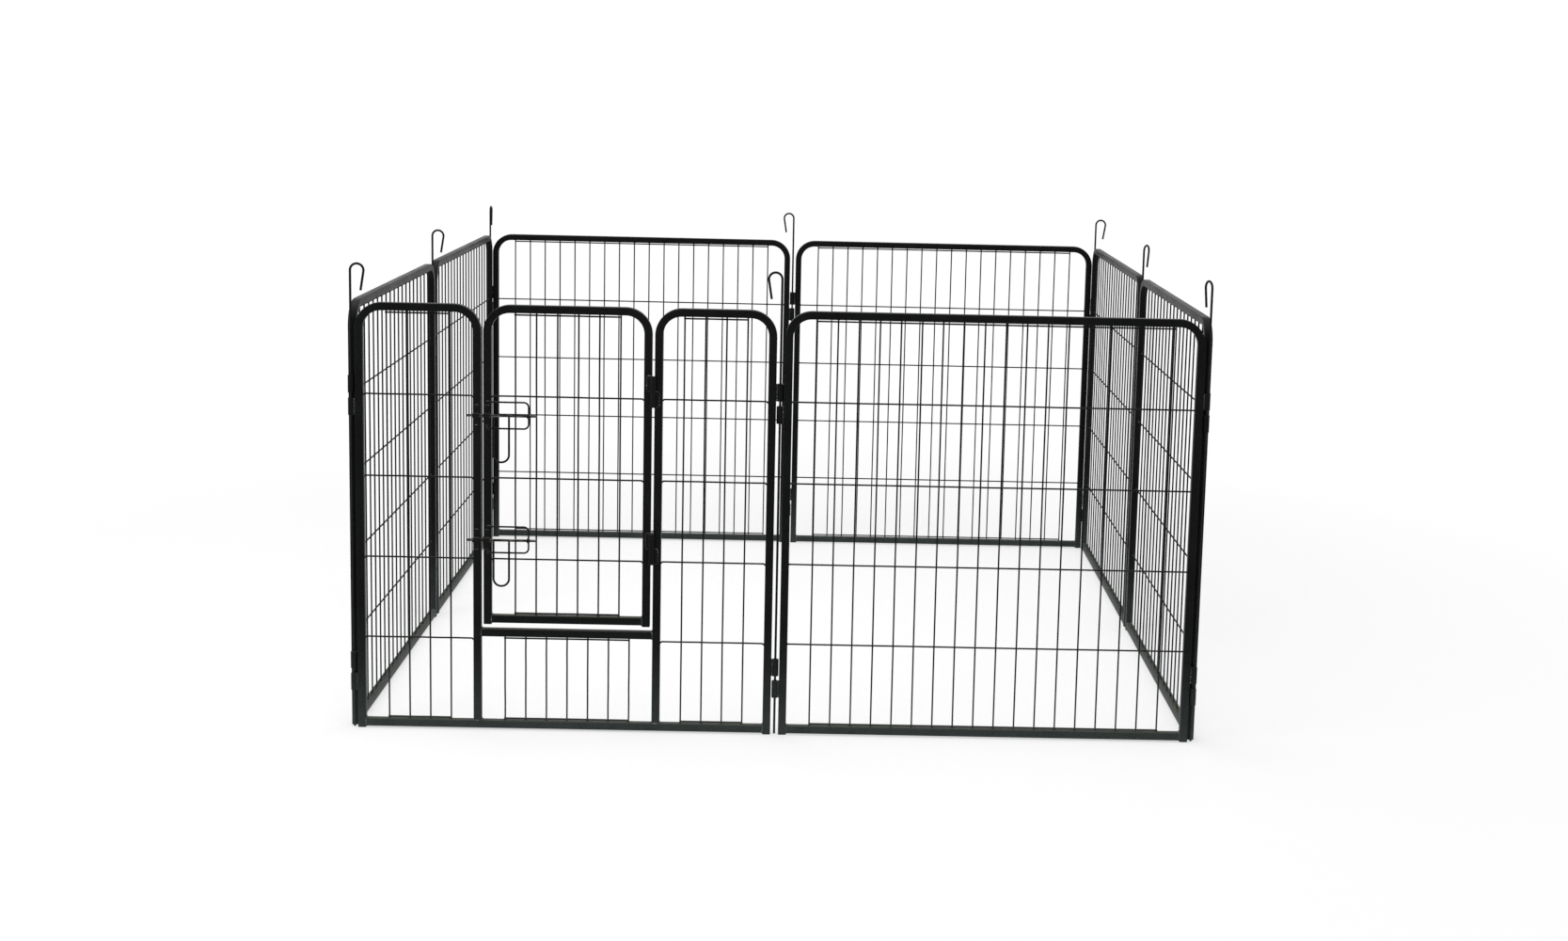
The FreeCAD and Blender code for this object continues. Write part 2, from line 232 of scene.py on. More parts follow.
def powderCoat(name, values):
    # faint orange peel, cloudy thickness, fine salt where the grains didn't quite flow
    f = Finish(name + "_coat")
    patterns = ("clouds", "patches", "salt", "waves")
    clouds, patches, salt, waves = (f.noise(*powder[key]) for key in patterns)
    peel = f.noise(values["grain"], powder["peel detail"])
    thin = ((clouds - powder["cloud level"]) * powder["cloud thinning"]
            + (patches - powder["patch level"]) * powder["patch thinning"]
            + (salt - powder["salt level"]).clamped() * powder["salt thinning"]).clamped()
    floorLightAndDust, topLightAndDust = dustAndPaintedLightShares(f, patches)
    # painted light: low parts lighter, as the floor's bounce light makes them, mixed with dust
    color = f.blend(floorLightAndDust, f.blend(thin, values["dark"], values["pale"]), dustAndPaintedLight["color"])
    # painted light: faces that look up lighter and warmer, as light from above makes them, mixed with
    # dust
    color = f.blend(topLightAndDust, color, dustAndPaintedLight["top light color"])
    rough = ((clouds - powder["average"]) * powder["cloud roughness"]
             + (peel - powder["average"]) * powder["peel roughness"]
             + floorLightAndDust * dustAndPaintedLight["roughness"] + values["rough"])
    metallic = 0.0
    if "bare" in values:
        bare = bareShare(f, values["bare"])
        color = f.blend(bare, color, bareSteel["color"])
        rough = rough * (1 - bare * bareSteel["smoother"])
        metallic = bare * bareSteel["metallic"]
    surface = f.node("Bump", {}, {
        "Strength": values["peel"], "Distance": powder["relief"],
        "Height": peel + salt * powder["salt relief"] + waves * powder["wave relief"]})
    return f.finished(f.node("BsdfPrincipled", {}, {
        "Base Color": color, "Roughness": rough, "Metallic": metallic,
        "Specular IOR Level": values["gloss"], "Normal": surface}))


coats = {name: powderCoat(name, values) for name, values in coat.items()}
print("finishes ready")


def justVerts(items):
    return [g for g in items if isinstance(g, bmesh.types.BMVert)]


def justFace(items):
    return next(g for g in items if isinstance(g, bmesh.types.BMFace))


class Bender:
    # feeds a section through a forming machine: straight runs, and bends about one axis

    def __init__(self, bm, section, start, heading, axis):
        self.bm = bm
        self.place, self.heading, self.axis = Vector(start), Vector(heading), Vector(axis)
        self.face = section(bm)
        bmesh.ops.transform(bm, matrix=self.stand(), verts=self.face.verts)
        self.first = self.face

    def side(self):
        return self.axis.cross(self.heading)

    def stand(self):
        # where the section is now: its X to the bend's inside, its Y along the bend's axis
        turned = Matrix((self.side(), self.axis, self.heading)).transposed().to_4x4()
        return Matrix.Translation(self.place) @ turned

    def around(self):
        return list(self.face.verts) + list(self.face.edges) + [self.face]

    def swell(self, across, along):
        # widens or narrows the section where it stands
        space = self.stand().inverted()
        bmesh.ops.scale(self.bm, vec=(across, along, 1), space=space, verts=self.face.verts)

    def run(self, length, drift=None):
        move = self.heading * length + (drift or Vector())
        made = bmesh.ops.extrude_face_region(self.bm, geom=self.around())["geom"]
        bmesh.ops.translate(self.bm, verts=justVerts(made), vec=move)
        self.face = justFace(made)
        self.place = self.place + move
        return self

    def runTo(self, length, pieces, waver):
        # a long straight run that wanders a little, back on its line at the end
        last = 0.0
        for i in range(pieces):
            off = 0.0 if i == pieces - 1 else chance.uniform(-waver, waver)
            self.run(length / pieces, self.side() * (off - last))
            last = off
        return self

    def bend(self, radius, degrees, flats, squeeze=0.0):
        # squeeze is how much a hollow tube flattens in the middle of its bend
        centre = self.place + self.side() * math.copysign(radius, degrees)
        angle = math.radians(degrees) / flats
        turn = Matrix.Rotation(angle, 3, self.axis)
        flat = 1.0
        for i in range(flats):
            made = bmesh.ops.spin(self.bm, geom=self.around(), cent=centre, axis=self.axis,
                                  dvec=Vector(), angle=angle, steps=1, space=Matrix(), use_merge=False,
                                  use_normal_flip=False, use_duplicate=False)["geom_last"]
            self.face = justFace(made)
            self.place = centre + turn @ (self.place - centre)
            self.heading = turn @ self.heading
            if squeeze:
                now = 1 - squeeze * math.sin(math.pi * (i + 1) / flats)
                self.swell(now / flat, (2 - now) / (2 - flat))
                flat = now
        return self


def roundSection(diameter, sides):
    def make(bm):
        made = bmesh.ops.create_circle(bm, cap_ends=True, segments=sides, radius=diameter / 2)
        return made["verts"][0].link_faces[0]
    return make


def plateSection(width, thickness, corner, segments):
    # a flat or square bar with rounded long edges
    def make(bm):
        verts = bmesh.ops.create_grid(bm, x_segments=1, y_segments=1, size=0.5)["verts"]
        bmesh.ops.scale(bm, vec=(width, thickness, 1), verts=verts)
        made = bmesh.ops.bevel(bm, geom=list(verts), offset=corner, segments=segments, profile=0.5,
                               affect="VERTICES", material=-1)["verts"]
        return made[0].link_faces[0]
    return make


def softEnd(bm, face, size):
    # a small round on a bar's cut end
    bmesh.ops.bevel(bm, geom=list(face.edges), offset=size, segments=2, profile=0.5, affect="EDGES",
                    material=-1)


def openEnd(bm, face, wall, depth):
    # hollows a tube's cut end
    away = -face.normal
    bmesh.ops.inset_region(bm, faces=[face], thickness=wall, use_even_offset=True)
    inside = list(face.verts) + list(face.edges) + [face]
    made = bmesh.ops.extrude_face_region(bm, geom=inside)["geom"]
    bmesh.ops.translate(bm, verts=justVerts(made), vec=away * depth)


def latheRing(bm, inner, outer, height, rim, centre, steps):
    # a short pipe about +Z with softened rims
    verts = bmesh.ops.create_grid(bm, x_segments=1, y_segments=1, size=0.5)["verts"]
    bmesh.ops.scale(bm, vec=(outer - inner, height, 1), verts=verts)
    verts = bmesh.ops.bevel(bm, geom=verts, offset=rim, segments=2, profile=0.5, affect="VERTICES",
                            material=-1)["verts"]
    face = verts[0].link_faces[0]
    bmesh.ops.rotate(bm, verts=face.verts, matrix=Matrix.Rotation(math.pi / 2, 3, "X"))
    bmesh.ops.translate(bm, verts=face.verts, vec=centre + ahead * (inner + outer) / 2)
    edges = list(face.edges)
    bmesh.ops.delete(bm, geom=[face], context="FACES_ONLY")
    outline = list({v for e in edges for v in e.verts}) + edges
    bmesh.ops.spin(bm, geom=outline, cent=centre, axis=up, dvec=Vector(), angle=2 * math.pi,
                   steps=steps, space=Matrix(), use_merge=True, use_normal_flip=False,
                   use_duplicate=False)


def block(bm, low, high, rim):
    # a box between two corners, its edges softened
    verts = bmesh.ops.create_cube(bm, size=1)["verts"]
    low, high = Vector(low), Vector(high)
    bmesh.ops.scale(bm, vec=high - low, verts=verts)
    bmesh.ops.translate(bm, vec=(low + high) / 2, verts=verts)
    edges = list({e for v in verts for e in v.link_edges})
    bmesh.ops.bevel(bm, geom=edges, offset=rim, segments=2, profile=0.5, affect="EDGES", material=-1)


def keptMesh(bm, name):
    # a mesh to stamp again and again
    bmesh.ops.recalc_face_normals(bm, faces=bm.faces)
    mesh = bpy.data.meshes.new(name)
    bm.to_mesh(mesh)
    bm.free()
    return mesh


def stamp(bm, mesh, place):
    # adds a copy of a ready mesh at a place
    moved = mesh.copy()
    moved.transform(place)
    bm.from_mesh(moved)
    bpy.data.meshes.remove(moved)


# each kind of bead has a length, a radius and a number of different ones
bead = {"ripple": 1.5 * mm, "sides": 8, "uneven": 0.13, "tip": 0.55, "hollow": 0.84,
        "kinds": {"rail": (12.5 * mm, 1.75 * mm, 4), "knuckle": (31 * mm, 2.0 * mm, 4),
                  "leaf": (26 * mm, 1.3 * mm, 3), "tack": (8 * mm, 1.5 * mm, 3)}}
blob = {"radius": 1.3 * mm, "sides": 8, "rings": 5, "smallest": 0.9, "largest": 1.12}


def makeBead(length, radius):
    # a run of weld metal along +X, laid down in ripples, each a crest and a hollow
    bm = bmesh.new()
    laid = Bender(bm, roundSection(2 * radius, bead["sides"]), -ahead * length / 2, ahead, inward)
    steps = 2 * max(2, round(length / bead["ripple"]))
    laid.swell(bead["tip"], bead["tip"])
    size = bead["tip"]
    for i in range(1, steps + 1):
        laid.run(length / steps)
        if i == steps:
            swell = bead["tip"]
        else:
            swell = (1.0 if i % 2 else bead["hollow"]) * (1 + chance.uniform(-1, 1) * bead["uneven"])
        laid.swell(swell / size, swell / size)
        size = swell
    return keptMesh(bm, "bead")


def makeBlob():
    # the small lump of melted wire at a crossing or an end
    bm = bmesh.new()
    bmesh.ops.create_uvsphere(bm, u_segments=blob["sides"], v_segments=blob["rings"],
                              radius=blob["radius"])
    return keptMesh(bm, "blob")


beads = {name: [makeBead(length, radius) for i in range(count)]
         for name, (length, radius, count) in bead["kinds"].items()}
wireBlob = makeBlob()


def facing(direction):
    # turns +X to a direction
    return Vector(direction).to_track_quat("X", "Z").to_matrix().to_4x4()


def weldLine(bm, kind, middle, direction):
    # one of a kind of bead, rolled about its own length so that no two look alike
    spun = Matrix.Rotation(chance.uniform(0, 2 * math.pi), 4, "X")
    stamp(bm, chance.choice(beads[kind]), Matrix.Translation(middle) @ facing(direction) @ spun)


def weldSpot(bm, place, size):
    sized = Matrix.Diagonal((*(Vector(size) * chance.uniform(blob["smallest"], blob["largest"])), 1))
    stamp(bm, wireBlob, Matrix.Translation(place) @ sized)


# an edge that turns by more degrees than this stays crisp
crisp = {"formed": 38, "wire": 50, "spots": 70, "beads": 80}


def dress(name, bm, finish, place, replaced=None, rideOn=None, edges="formed"):
    # a finished piece, carried to its place and put on its node's body
    bmesh.ops.recalc_face_normals(bm, faces=bm.faces)
    bmesh.ops.transform(bm, matrix=place, verts=bm.verts)
    mesh = bpy.data.meshes.new(name)
    for face in bm.faces:
        face.smooth = True
    bm.to_mesh(mesh)
    bm.free()
    mesh.set_sharp_from_angle(angle=math.radians(crisp[edges]))
    mesh.materials.append(coats[finish])
    piece = bpy.data.objects.new(name, mesh)
    bpy.context.scene.collection.objects.link(piece)
    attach(piece, body_of(frame["nodes"][replaced or rideOn])[0])
    if replaced:
        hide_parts(replaced)


def dressWelds(name, bm, place, rideOn):
    dress(name, bm, "weld", place, rideOn=rideOn, edges="beads")


tube = {"side": 15.0 * mm, "wall": 1.5 * mm, "edge": 2.3 * mm, "edge facets": 4, "bend": 50.0 * mm,
        "flats": 14, "squeeze": 0.03, "hollow": 40 * mm}
panel = {"leg gap": 15.0 * mm, "sides": {"front": 0, "right": 90, "back": 180, "left": 270}}
half = tube["side"] / 2
squareTube = plateSection(tube["side"], tube["side"], tube["edge"], tube["edge facets"])


def panelPlace(frameNode, side):
    # from a panel's own frame, with X along it and -Y out of the pen, to the ring
    lo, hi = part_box(frameNode)
    turn = Matrix.Rotation(math.radians(panel["sides"][side]), 4, "Z")
    along = turn.to_3x3() @ ahead
    reach = abs((hi - lo).dot(along)) / 2 + panel["leg gap"] / 2
    start = (lo + hi) / 2 - along * reach
    start.z = 0
    return Matrix.Translation(start) @ turn


def localBox(node, place):
    # a node's box in its panel's own frame
    lo, hi = (place.inverted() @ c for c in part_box(node))
    return Vector(map(min, lo, hi)), Vector(map(max, lo, hi))


def archTube(name, node, place, feet, cut):
    # two legs and a top bar in one bent tube; feet are the heights the legs start at, cut says
    # which of them end open
    lo, hi = localBox(node, place)
    inner = tube["bend"] - half
    shoulder = hi.z - tube["bend"]
    bm = bmesh.new()
    path = Bender(bm, squareTube, (lo.x + half, 0, feet[0]), up, inward)
    path.run(shoulder - feet[0]).bend(inner, 90, tube["flats"], tube["squeeze"])
    path.run(hi.x - lo.x - 2 * tube["bend"]).bend(inner, 90, tube["flats"], tube["squeeze"])
    path.run(shoulder - feet[1])
    bm.normal_update()
    for face, isCut in zip((path.first, path.face), cut):
        if isCut:
            openEnd(bm, face, tube["wall"], tube["hollow"])
    dress(name, bm, "tube", place, replaced=node)
    return lo, hi


def railTube(name, node, place):
    # a straight tube between two legs
    lo, hi = localBox(node, place)
    bm = bmesh.new()
    Bender(bm, squareTube, (lo.x, 0, (lo.z + hi.z) / 2), ahead, inward).run(hi.x - lo.x)
    dress(name, bm, "tube", place, replaced=node)
    return lo, hi


# where the middle of a bead lies: sunk below a tube's face, or out from the tube it meets
seam = {"beside sunk": 0.9 * mm, "beside out": 0.2 * mm, "over sunk": 0.5 * mm,
        "under sunk": 0.7 * mm, "level out": 0.6 * mm, "foot sunk": 0.3 * mm, "foot out": 0.4 * mm}


def railWelds(bm, lo, hi):
    # beads round both ends of a level tube, where it meets its legs
    beside, middle = half - seam["beside sunk"], (lo.z + hi.z) / 2
    for x, side in ((lo.x, 1), (hi.x, -1)):
        for y in (-beside, beside):
            weldLine(bm, "rail", (x + side * seam["beside out"], y, middle), up)
        for z in (lo.z + seam["under sunk"], hi.z - seam["over sunk"]):
            weldLine(bm, "rail", (x + side * seam["level out"], 0, z), inward)


def footWelds(bm, x, z):
    # beads where an upright tube stands on a level one
    for side in (-1, 1):
        weldLine(bm, "rail", (x, side * (half - seam["beside sunk"]), z), ahead)
        weldLine(bm, "rail", (x + side * (half - seam["foot sunk"]), 0, z + seam["foot out"]), inward)


# each wire is a few straight runs that waver a little about its line
wire = {"diameter": 3.2 * mm, "sides": 10, "weld gap": 0.05 * mm, "upright pitch": 39.3 * mm,
        "leg clearance": 30.0 * mm, "first row": 177.5 * mm, "row pitch": 155.8 * mm, "rows": 4,
        "edge gap": 2.0 * mm, "into rail": 0.5 * mm, "waver": 0.25 * mm, "short runs": 5,
        "long runs": 6}
# the door's and its panel's level wires dip at both ends, to their welds on the legs
kink = {"depth": 2.0 * mm, "bend": 1.6 * mm, "slope": 45, "flats": 3, "end": 1.2 * mm,
        "into leg": 1.0 * mm}
# how many times a plain blob's size a weld has, along X, Y and Z
spot = {"on rail": (2.1, 1.9, 1.0), "crossing": (1.05, 1.1, 1.05), "on leg": (1.1, 2.0, 2.0)}
wireOff = (wire["diameter"] + wire["weld gap"]) / 2
roundWire = roundSection(wire["diameter"], wire["sides"])
rowHeights = [wire["first row"] + i * wire["row pitch"] for i in range(wire["rows"])]


def levelWire(bm, start, end, height, kinked):
    if not kinked:
        path = Bender(bm, roundWire, (start, -wireOff, height), ahead, inward)
        path.runTo(end - start, wire["long runs"], wire["waver"])
        return
    r, slope, flats = kink["bend"], kink["slope"], kink["flats"]
    slant = kink["depth"] / math.sin(math.radians(slope)) - 2 * r * math.tan(math.radians(slope / 2))
    first = (start - kink["into leg"], -wireOff, height - kink["depth"])
    path = Bender(bm, roundWire, first, ahead, inward)
    path.run(kink["end"]).bend(r, -slope, flats).run(slant).bend(r, slope, flats)
    used = path.place.x - start
    path.runTo(end - start - 2 * used, wire["long runs"], wire["waver"])
    path.bend(r, slope, flats).run(slant).bend(r, -slope, flats).run(kink["end"])


def wireMesh(name, place, span, bottom, top, rows, kinked):
    # one panel of welded wire between two legs and two rails
    start, end = span
    bm = bmesh.new()
    spots = bmesh.new()
    count = math.floor((end - start - 2 * wire["leg clearance"]) / wire["upright pitch"]) + 1
    first = (start + end - (count - 1) * wire["upright pitch"]) / 2
    columns = [first + i * wire["upright pitch"] for i in range(count)]
    edge = wire["edge gap"] + wire["diameter"] / 2
    edgeRows = [bottom + edge, top - edge]
    for x in columns:
        path = Bender(bm, roundWire, (x, wireOff, bottom - wire["into rail"]), up, inward)
        path.runTo(top - bottom + 2 * wire["into rail"], wire["short runs"], wire["waver"])
        for z in (bottom, top):
            weldSpot(spots, (x, wireOff, z), spot["on rail"])
        for z in edgeRows + rows:
            weldSpot(spots, (x, 0, z), spot["crossing"])
    for z in edgeRows:
        short = Bender(bm, roundWire, (columns[0] - wire["diameter"] / 2, -wireOff, z), ahead, inward)
        short.runTo(columns[-1] - columns[0] + wire["diameter"], wire["short runs"], wire["waver"] / 2)
    drop = kink["depth"] if kinked else 0
    for z in rows:
        levelWire(bm, start, end, z, kinked)
        for x in span:
            weldSpot(spots, (x, -wireOff, z - drop), spot["on leg"])
    dress(name + "_wires", bm, "wire", place, replaced=name, edges="wire")
    dress(name + "_welds", spots, "weld", place, rideOn=name, edges="spots")


knuckle = {"height": 33.0 * mm, "gap": 9.5 * mm, "bore": 5.5 * mm, "rim": 0.7 * mm, "facets": 32,
           "leg clearance": 1.0 * mm, "neck": 7.0 * mm, "neck overlap": 1.6 * mm,
           "neck short": 0.4 * mm, "neck rim": 0.3 * mm, "weld back": 1.3 * mm, "weld out": 0.1 * mm}


def knuckleSet(name, place):
    # four short pipes: the far end carries the upper of each pair, the near end the lower
    lo, hi = localBox(name, place)
    outer = panel["leg gap"] / 2 - knuckle["leg clearance"]
    step = knuckle["height"] + knuckle["gap"]
    neck = knuckle["neck"] / 2
    bm = bmesh.new()
    laid = bmesh.new()
    for bottom in (hi.z - knuckle["height"], lo.z + step):
        for axis, z, side in ((hi.x - outer, bottom, -1), (lo.x + outer, bottom - step, 1)):
            middle = z + knuckle["height"] / 2
            latheRing(bm, knuckle["bore"] / 2, outer, knuckle["height"], knuckle["rim"],
                      Vector((axis, 0, middle)), knuckle["facets"])
            leg = axis + side * panel["leg gap"] / 2
            near = axis + side * (outer - knuckle["neck overlap"])
            low, high = z + knuckle["neck short"], z + knuckle["height"] - knuckle["neck short"]
            block(bm, (min(leg, near), -neck, low), (max(leg, near), neck, high), knuckle["neck rim"])
            for y in (-1, 1):
                beside = y * (neck + knuckle["weld out"])
                weldLine(laid, "knuckle", (leg - side * knuckle["weld back"], beside, middle), up)
    dress(name + "_pipes", bm, "tube", place, replaced=name)
    dressWelds(name + "_welds", laid, place, name)


def plainPanel(name):
    frameNode, railNode = name + "_frame", name + "_bottom_rail"
    place = panelPlace(frameNode, name.split("_")[0])
    lo, hi = archTube(frameNode + "_tube", frameNode, place, (0, 0), (True, True))
    railLo, railHi = railTube(railNode + "_tube", railNode, place)
    laid = bmesh.new()
    railWelds(laid, railLo, railHi)
    dressWelds(name + "_rail_welds", laid, place, frameNode)
    span = (railLo.x, railHi.x)
    wireMesh(name + "_mesh", place, span, railHi.z, hi.z - tube["side"], rowHeights, False)
    knuckleSet(name + "_knuckles", place)


for name in ("front_right", "right_front", "right_back", "back_right",
             "back_left", "left_back", "left_front"):
    plainPanel(name)
print("plain panels dressed")


def doorFramePlace():
    lo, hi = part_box("door_panel_left_arch")
    return Matrix.Translation((lo.x - panel["leg gap"] / 2, (lo.y + hi.y) / 2, 0))


doorPlace = doorFramePlace()


def doorPanel():
    # an arch each side of the doorway, both on one bottom rail, and a sill bar between them
    onRail = localBox("door_panel_bottom_rail", doorPlace)[1].z
    arches = {}
    ends = {"left": ((0, onRail), (True, False)), "right": ((onRail, 0), (False, True))}
    for side, (feet, cut) in ends.items():
        node = "door_panel_" + side + "_arch"
        lo, hi = archTube(node + "_tube", node, doorPlace, feet, cut)
        span = (lo.x + tube["side"], hi.x - tube["side"])
        top = hi.z - tube["side"]
        wireMesh("door_panel_" + side + "_mesh", doorPlace, span, onRail, top, rowHeights, True)
        arches[side] = lo, hi
    rail = railTube("door_panel_bottom_rail_tube", "door_panel_bottom_rail", doorPlace)
    sill = railTube("door_panel_sill_bar_tube", "door_panel_sill_bar", doorPlace)
    laid = bmesh.new()
    railWelds(laid, *rail)
    railWelds(laid, *sill)
    footWelds(laid, arches["left"][1].x - half, onRail)
    footWelds(laid, arches["right"][0].x + half, onRail)
    dressWelds("door_panel_frame_welds", laid, doorPlace, "door_panel_bottom_rail")
    span = (sill[0].x, sill[1].x)
    wireMesh("door_panel_sill_mesh", doorPlace, span, onRail, sill[0].z, [], False)
    knuckleSet("door_panel_knuckles", doorPlace)


doorPanel()
print("door panel dressed")


def doorLeaf():
    bottom = localBox("door_frame", doorPlace)[0].z
    lo, hi = archTube("door_frame_tube", "door_frame", doorPlace, (bottom, bottom), (True, True))
    railLo, railHi = railTube("door_rail_tube", "door_bottom_rail", doorPlace)
    laid = bmesh.new()
    railWelds(laid, railLo, railHi)
    dressWelds("door_rail_welds", laid, doorPlace, "door_frame")
    span = (railLo.x, railHi.x)
    wireMesh("door_mesh", doorPlace, span, railHi.z, hi.z - tube["side"], rowHeights[1:], True)


doorLeaf()
print("door dressed")


hinge = {"height": 59.0 * mm, "slot": 0.6 * mm, "barrel": 11.0 * mm, "rim": 0.8 * mm, "facets": 36,
         "pin": 5.0 * mm, "pin clearance": 0.3 * mm, "pin length": 22.0 * mm, "pin sides": 24,
         "pin root": 0.6 * mm, "pin tip": 0.9 * mm,
         "leaf": 2.0 * mm, "leaf short": 0.2 * mm, "leaf rim": 0.35 * mm, "weld out": 0.5 * mm,
         "tack out": 0.4 * mm, "tack back": 4.5 * mm, "tack inset": 0.1 * mm}


def hingeHalves(name, lower):
    # barrels in front of the gap, each with a leaf welded flat on its own leg; the lower half
    # of each hinge carries its pin
    lo, hi = localBox(name, doorPlace)
    tall = (hinge["height"] - hinge["slot"]) / 2
    radius = hinge["barrel"] / 2
    side = 1 if lower else -1
    axisX = lo.x + radius if lower else hi.x - radius
    axisY = lo.y + radius
    edge = hi.x if lower else lo.x
    full = tall + (hinge["pin length"] if lower else 0)
    bore = hinge["pin"] / 2 + (0 if lower else hinge["pin clearance"])
    bm = bmesh.new()
    laid = bmesh.new()
    for z in (lo.z, hi.z - full):
        middle = z + tall / 2
        latheRing(bm, bore, radius, tall, hinge["rim"], Vector((axisX, axisY, middle)), hinge["facets"])
        block(bm, (min(axisX, edge), -half - hinge["leaf"], z + hinge["leaf short"]),
              (max(axisX, edge), -half, z + tall - hinge["leaf short"]), hinge["leaf rim"])
        if lower:
            root = (axisX, axisY, z + hinge["pin root"])
            pintle = Bender(bm, roundSection(hinge["pin"], hinge["pin sides"]), root, up, inward)
            pintle.run(full - hinge["pin root"])
            softEnd(bm, pintle.face, hinge["pin tip"])
        weldLine(laid, "leaf", (edge, -half - hinge["weld out"], middle), up)
        tackX = edge - side * hinge["tack back"]
        for end in (z + hinge["tack inset"], z + tall - hinge["tack inset"]):
            weldLine(laid, "tack", (tackX, -half - hinge["tack out"], end), ahead)
    dress(name + "_formed", bm, "hardware", doorPlace, replaced=name)
    dressWelds(name + "_welds", laid, doorPlace, name)


hingeHalves("door_panel_hinge_pintles", True)
hingeHalves("door_hinge_sockets", False)
print("hinges dressed")


bolts = {name: localBox(name, doorPlace) for name in ("upper_bolt", "lower_bolt")}
boltRadius = (bolts["upper_bolt"][1].z - bolts["upper_bolt"][0].z) / 2


def boltLine(name):
    lo, hi = bolts[name]
    return (lo + hi) / 2


strap = {"thickness": 1.5 * mm, "edge": 0.3 * mm, "clearance": 0.5 * mm, "bend": 1.35 * mm,
         "flats": 5, "weld out": 0.4 * mm}


def strapSet(name):
    # a strip of sheet over each bolt, bent out and back, its two flanges welded on the leg
    lo, hi = localBox(name, doorPlace)
    x, width = (lo.x + hi.x) / 2, hi.x - lo.x
    axis = boltLine("upper_bolt")
    tall = hi.z - axis.z
    t, r, flats = strap["thickness"], strap["bend"], strap["flats"]
    opening = boltRadius + strap["clearance"] + t / 2
    flange = -half - t / 2
    rise = flange - (axis.y - opening) - 2 * r
    bm = bmesh.new()
    laid = bmesh.new()
    strip = plateSection(t, width, strap["edge"], 1)
    for bolt in bolts:
        z = boltLine(bolt).z
        path = Bender(bm, strip, (x, flange, z - tall), up, ahead)
        path.run(tall - opening - r).bend(r, 90, flats).run(rise).bend(r, -90, flats)
        path.run(2 * opening - 2 * r).bend(r, -90, flats).run(rise).bend(r, 90, flats)
        path.run(tall - opening - r)
        for end in (z - tall, z + tall):
            weldLine(laid, "tack", (x, -half - strap["weld out"], end), ahead)
    dress(name + "_bent", bm, "hardware", doorPlace, replaced=name)
    dressWelds(name + "_welds", laid, doorPlace, name)


guide = {"wire": 3.4 * mm, "sides": 16, "corner": 9.0 * mm, "flats": 10, "spread": 50.0 * mm,
         "overlap": 10.0 * mm, "end": 0.5 * mm, "weld out": 0.7 * mm, "weld beside": 1.3 * mm,
         "eye wall": 1.4 * mm, "eye length": 5.0 * mm, "eye rim": 0.5 * mm, "eye facets": 28,
         "clearance": 0.5 * mm}


def eyeMesh():
    bm = bmesh.new()
    inner = boltRadius + guide["clearance"]
    latheRing(bm, inner, inner + guide["eye wall"], guide["eye length"], guide["eye rim"], Vector(),
              guide["eye facets"])
    bmesh.ops.rotate(bm, verts=bm.verts, matrix=Matrix.Rotation(math.pi / 2, 3, "Y"))
    return keptMesh(bm, "eye")


guideEye = eyeMesh()


def guideSet(name):
    # a wire bow held out from the door's leg, with an eye on its upright round the bolt
    lo, hi = localBox(name, doorPlace)
    r, flats = guide["corner"], guide["flats"]
    reach = hi.x - guide["eye length"] / 2
    arm = reach - r - lo.x
    tackX, tackY = lo.x + guide["overlap"] / 2, -half - guide["weld out"]
    bow = roundSection(guide["wire"], guide["sides"])
    bm = bmesh.new()
    laid = bmesh.new()
    for bolt in bolts:
        axis = boltLine(bolt)
        low, high = axis.z - guide["spread"] / 2, axis.z + guide["spread"] / 2
        path = Bender(bm, bow, (lo.x, -half - guide["wire"] / 2, low), ahead, -inward)
        path.run(arm).bend(r, 90, flats).run(guide["spread"] - 2 * r).bend(r, 90, flats).run(arm)
        softEnd(bm, path.face, guide["end"])
        softEnd(bm, path.first, guide["end"])
        stamp(bm, guideEye, Matrix.Translation((reach, axis.y, axis.z)))
        for level in (low, high):
            for z in (level - guide["weld beside"], level + guide["weld beside"]):
                weldLine(laid, "tack", (tackX, tackY, z), ahead)
    dress(name + "_bent", bm, "hardware", doorPlace, replaced=name)
    dressWelds(name + "_welds", laid, doorPlace, name)


rod = {"sides": 24, "end": 0.8 * mm}
handle = {"wire": 4.0 * mm, "sides": 16, "flat": 0.7 * mm, "flats": 14, "into bolt": 0.8 * mm,
          "weld": (1.5, 2.0, 1.4), "weld below": 0.2 * mm}


def boltRod(name):
    lo, hi = bolts[name]
    axis = boltLine(name)
    bm = bmesh.new()
    path = Bender(bm, roundSection(2 * boltRadius, rod["sides"]), (lo.x, axis.y, axis.z), ahead, inward)
    path.run(hi.x - lo.x)
    softEnd(bm, path.face, rod["end"])
    softEnd(bm, path.first, rod["end"])
    dress(name + "_rod", bm, "slide", doorPlace, replaced=name)


def boltHandle(name):
    # a wire loop that hangs from the bolt by two welds
    node = name + "_handle"
    lo, hi = localBox(node, doorPlace)
    axis = boltLine(name)
    radius, flats = handle["wire"] / 2, handle["flats"]
    r = (hi.x - lo.x - handle["flat"]) / 2 - radius
    top = hi.z + handle["into bolt"]
    leg = top - (lo.z + radius + r)
    loop = roundSection(handle["wire"], handle["sides"])
    bm = bmesh.new()
    path = Bender(bm, loop, (lo.x + radius, axis.y, top), -up, -inward)
    path.run(leg).bend(r, 90, flats).run(handle["flat"]).bend(r, 90, flats).run(leg)
    dress(node + "_wire", bm, "hardware", doorPlace, replaced=node)
    laid = bmesh.new()
    for x in (lo.x + radius, hi.x - radius):
        weldSpot(laid, (x, axis.y, axis.z - boltRadius - handle["weld below"]), handle["weld"])
    dressWelds(node + "_welds", laid, doorPlace, node)


